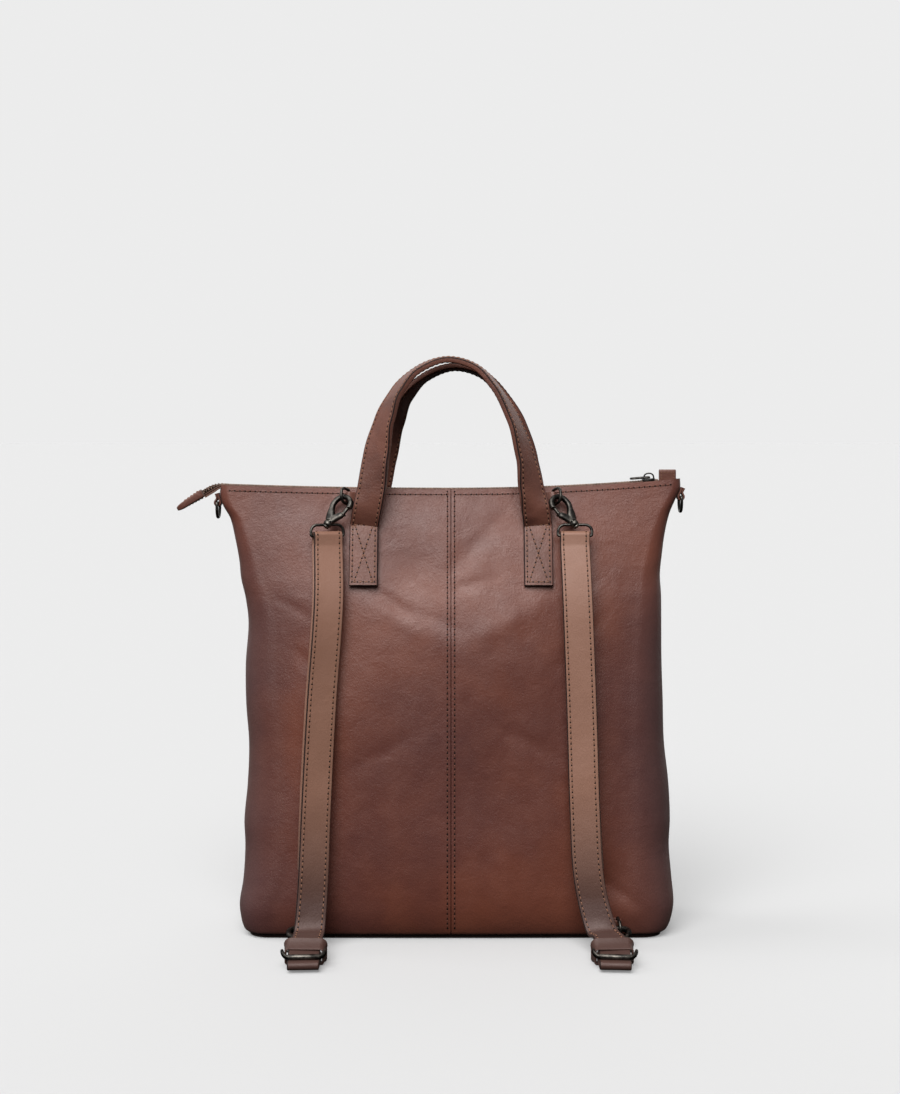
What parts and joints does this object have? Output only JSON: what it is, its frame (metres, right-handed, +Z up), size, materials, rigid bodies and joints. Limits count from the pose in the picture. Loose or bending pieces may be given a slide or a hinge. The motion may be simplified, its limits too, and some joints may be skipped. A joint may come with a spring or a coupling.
{
  "type": "convertible backpack",
  "caption": "Soft leather tote with a zipped top, arched carry handles, and shoulder straps that snap onto rings on its back so that it is worn as a backpack.",
  "frame": {"origin": "middle of the flat base, at floor level", "axes": "+Z up; the back with its straps faces -Y; +X is the right-hand end, where the zip closes"},
  "size_m": [0.4218, 0.1987, 0.47],
  "materials": {
    "body_leather": "smooth semi-gloss brown leather",
    "trim_leather": "smooth semi-gloss brown leather, cut edges dark",
    "strap_leather": "smooth brown leather, a little lighter and duller",
    "zip_fabric": "woven brown zip tape",
    "antique_metal": "dark antique gunmetal, rubbed edges"
  },
  "bodies": {
    "bag": {"back_panel_left": "body_leather", "back_panel_right": "body_leather", "front_panel": "body_leather", "base_panel": "body_leather", "zip_tape": "zip_fabric", "zip_teeth": "antique_metal", "zip_end_cover": "trim_leather", "zip_end_tab": "trim_leather", "zip_slider": "antique_metal", "handle_back": "trim_leather", "handle_front": "trim_leather", "side_ring_loop_left": "trim_leather", "side_ring_loop_right": "trim_leather", "strap_ring_loop_left": "trim_leather", "strap_ring_left": "antique_metal", "upper_hook_left": "antique_metal", "upper_hook_ring_left": "antique_metal", "base_ring_loop_left": "trim_leather", "base_ring_left": "antique_metal", "lower_hook_left": "antique_metal", "lower_hook_ring_left": "antique_metal", "strap_buckle_left": "antique_metal", "shoulder_strap_left": "strap_leather", "strap_keeper_left": "strap_leather", "strap_ring_loop_right": "trim_leather", "strap_ring_right": "antique_metal", "upper_hook_right": "antique_metal", "upper_hook_ring_right": "antique_metal", "base_ring_loop_right": "trim_leather", "base_ring_right": "antique_metal", "lower_hook_right": "antique_metal", "lower_hook_ring_right": "antique_metal", "strap_buckle_right": "antique_metal", "shoulder_strap_right": "strap_leather", "strap_keeper_right": "strap_leather"},
    "zip_pull": {"zip_pull": "antique_metal"},
    "side_ring_left": {"side_ring_left": "antique_metal"},
    "side_ring_right": {"side_ring_right": "antique_metal"},
    "upper_hook_gate_left": {"upper_hook_gate_left": "antique_metal"},
    "upper_hook_gate_right": {"upper_hook_gate_right": "antique_metal"},
    "lower_hook_gate_left": {"lower_hook_gate_left": "antique_metal"},
    "lower_hook_gate_right": {"lower_hook_gate_right": "antique_metal"}
  },
  "joints": [
    {"name": "zip_pull_lift", "type": "hinge", "parent": "bag", "child": "zip_pull", "pos_m": [0.16413, 0, 0.36995], "axis": [0, 1, 0], "range_deg": [0, 95]},
    {"name": "side_ring_left_swing", "type": "hinge", "parent": "bag", "child": "side_ring_left", "pos_m": [-0.19308, 0, 0.34879], "axis": [0, 1, 0], "range_deg": [0, 75]},
    {"name": "side_ring_right_swing", "type": "hinge", "parent": "bag", "child": "side_ring_right", "pos_m": [0.19029, 0, 0.35361], "axis": [0, -1, 0], "range_deg": [0, 75]},
    {"name": "upper_gate_left_open", "type": "hinge", "parent": "bag", "child": "upper_hook_gate_left", "pos_m": [-0.08807, -0.02848, 0.34073], "axis": [-0.2929, -0.7736, 0.5619], "range_deg": [0, 28], "stiffness_Nm_per_rad": 0.02, "springref_deg": -28.65},
    {"name": "upper_gate_right_open", "type": "hinge", "parent": "bag", "child": "upper_hook_gate_right", "pos_m": [0.088, -0.02883, 0.34078], "axis": [-0.29, 0.7756, -0.5607], "range_deg": [0, 28], "stiffness_Nm_per_rad": 0.02, "springref_deg": -28.65},
    {"name": "lower_gate_left_open", "type": "hinge", "parent": "bag", "child": "lower_hook_gate_left", "pos_m": [-0.11344, -0.07368, 0.01018], "axis": [0.0516, -0.1756, 0.9831], "range_deg": [0, 28], "stiffness_Nm_per_rad": 0.02, "springref_deg": -28.65},
    {"name": "lower_gate_right_open", "type": "hinge", "parent": "bag", "child": "lower_hook_gate_right", "pos_m": [0.13753, -0.07696, 0.01027], "axis": [-0.0526, -0.179, 0.9824], "range_deg": [0, 28], "stiffness_Nm_per_rad": 0.02, "springref_deg": -28.65}
  ]
}
